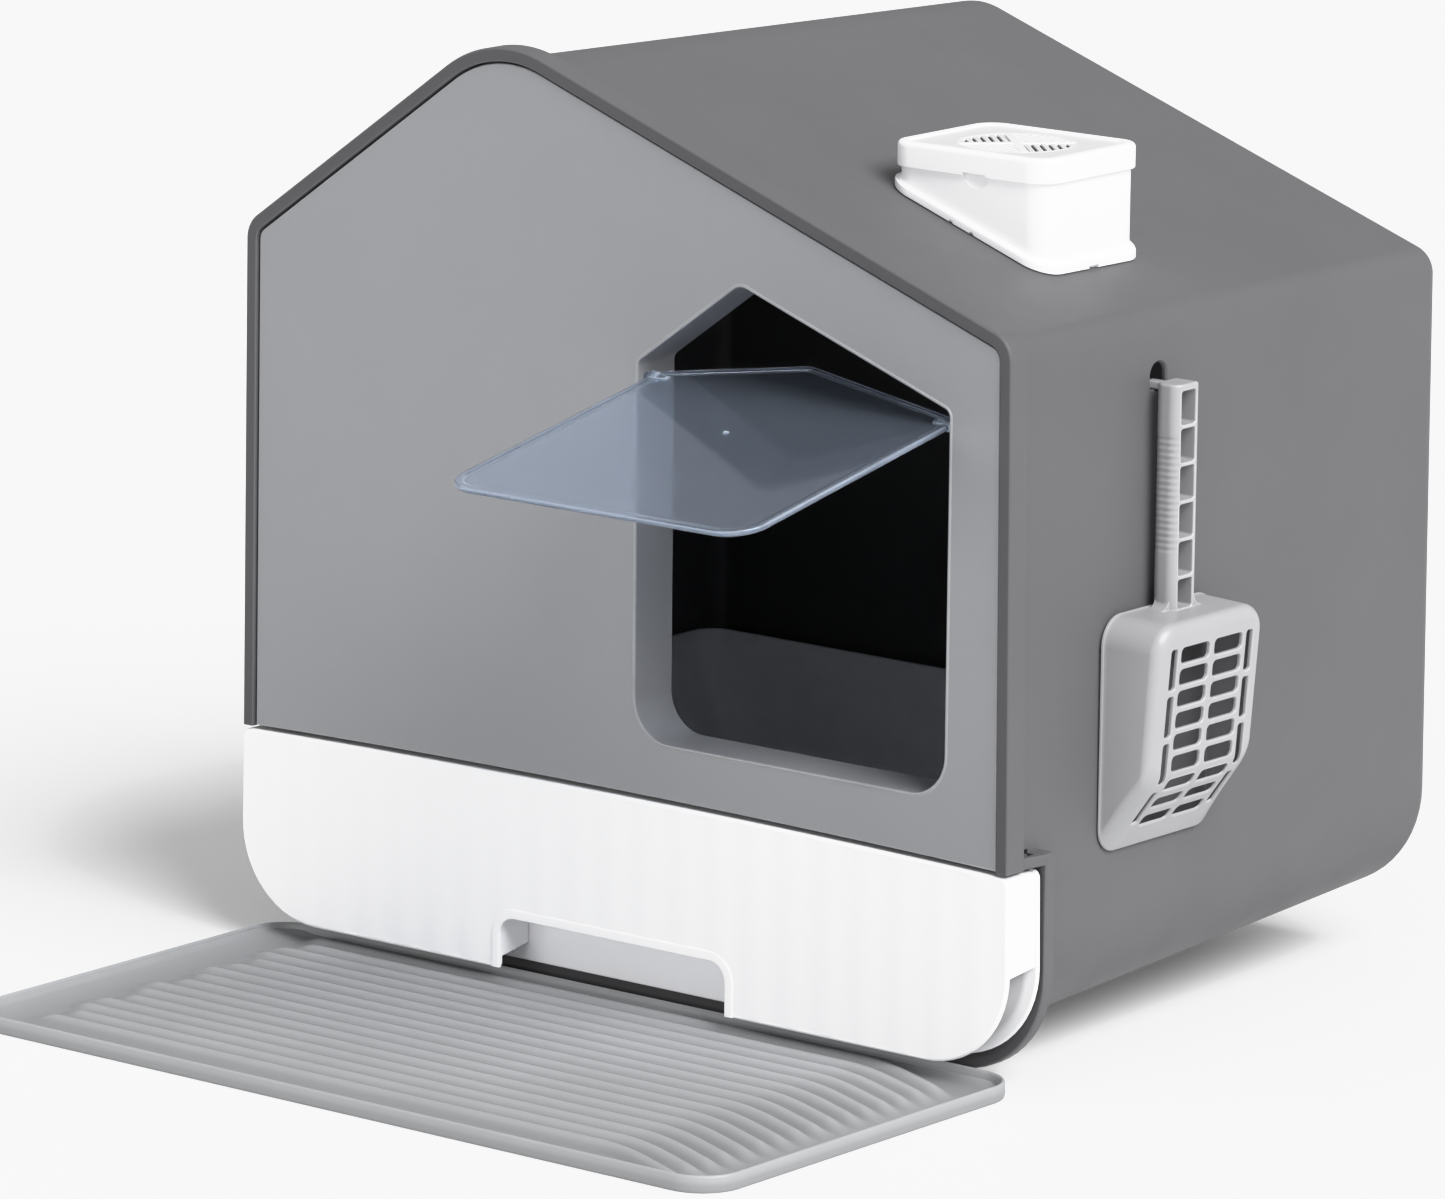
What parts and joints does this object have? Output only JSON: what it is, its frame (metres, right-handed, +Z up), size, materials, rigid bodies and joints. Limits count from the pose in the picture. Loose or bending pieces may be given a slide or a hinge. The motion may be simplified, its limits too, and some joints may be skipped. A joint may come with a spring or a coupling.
{
  "type": "cat litter box with hood",
  "caption": "Gabled house-shaped cat litter box with a swinging door flap, a slide-out litter drawer, a roof deodoriser box, a scoop hung on the side and a ribbed entry mat.",
  "frame": {"origin": "bottom centre of the whole assembly's bounding box, on the floor", "axes": "+Z up; +Y from the front face with the doorway to the back wall; +X along the front, to the side that carries the scoop"},
  "size_m": [0.554, 0.6334, 0.5104],
  "materials": {
    "house_grey": "satin moulded polypropylene, dark grey",
    "panel_grey": "satin moulded polypropylene, mid grey",
    "flap_frost": "frosted translucent, bluish grey",
    "drawer_white": "satin off-white with fine vertical flutes on the front",
    "vent_white": "satin white",
    "charcoal": "non-woven charcoal pad",
    "scoop_grey": "satin moulded polypropylene, light grey",
    "mat_grey": "soft matt moulded, light grey",
    "pad_rubber": "matt"
  },
  "bodies": {
    "house": {"house_shell": "house_grey", "front_panel": "panel_grey", "vent_housing": "vent_white", "deodoriser_pack": "charcoal", "foot_pad_front_left": "pad_rubber", "foot_pad_front_right": "pad_rubber", "foot_pad_rear_left": "pad_rubber", "foot_pad_rear_right": "pad_rubber"},
    "flap": {"door_flap": "flap_frost"},
    "drawer": {"drawer_front": "drawer_white", "drawer_tub": "drawer_white"},
    "lid": {"vent_lid": "vent_white"},
    "scoop": {"scoop": "scoop_grey"},
    "mat": {"entry_mat": "mat_grey"}
  },
  "joints": [
    {"name": "flap_hinge", "type": "hinge", "parent": "house", "child": "flap", "pos_m": [0.1025, -0.07275, 0.346], "axis": [1, 0, 0], "range_deg": [-6, 139]},
    {"name": "drawer_slide", "type": "slide", "parent": "house", "child": "drawer", "axis": [0, -1, 0], "range_m": [0, 0.33]},
    {"name": "lid_lift", "type": "slide", "parent": "house", "child": "lid", "axis": [0, 0, 1], "range_m": [0, 0.06]},
    {"name": "scoop_lift", "type": "slide", "parent": "house", "child": "scoop", "axis": [0.7659, 0, 0.6429], "range_m": [0, 0.12]},
    {"name": "mat_pull", "type": "slide", "parent": "house", "child": "mat", "axis": [0, -1, 0], "range_m": [0, 0.12]}
  ]
}
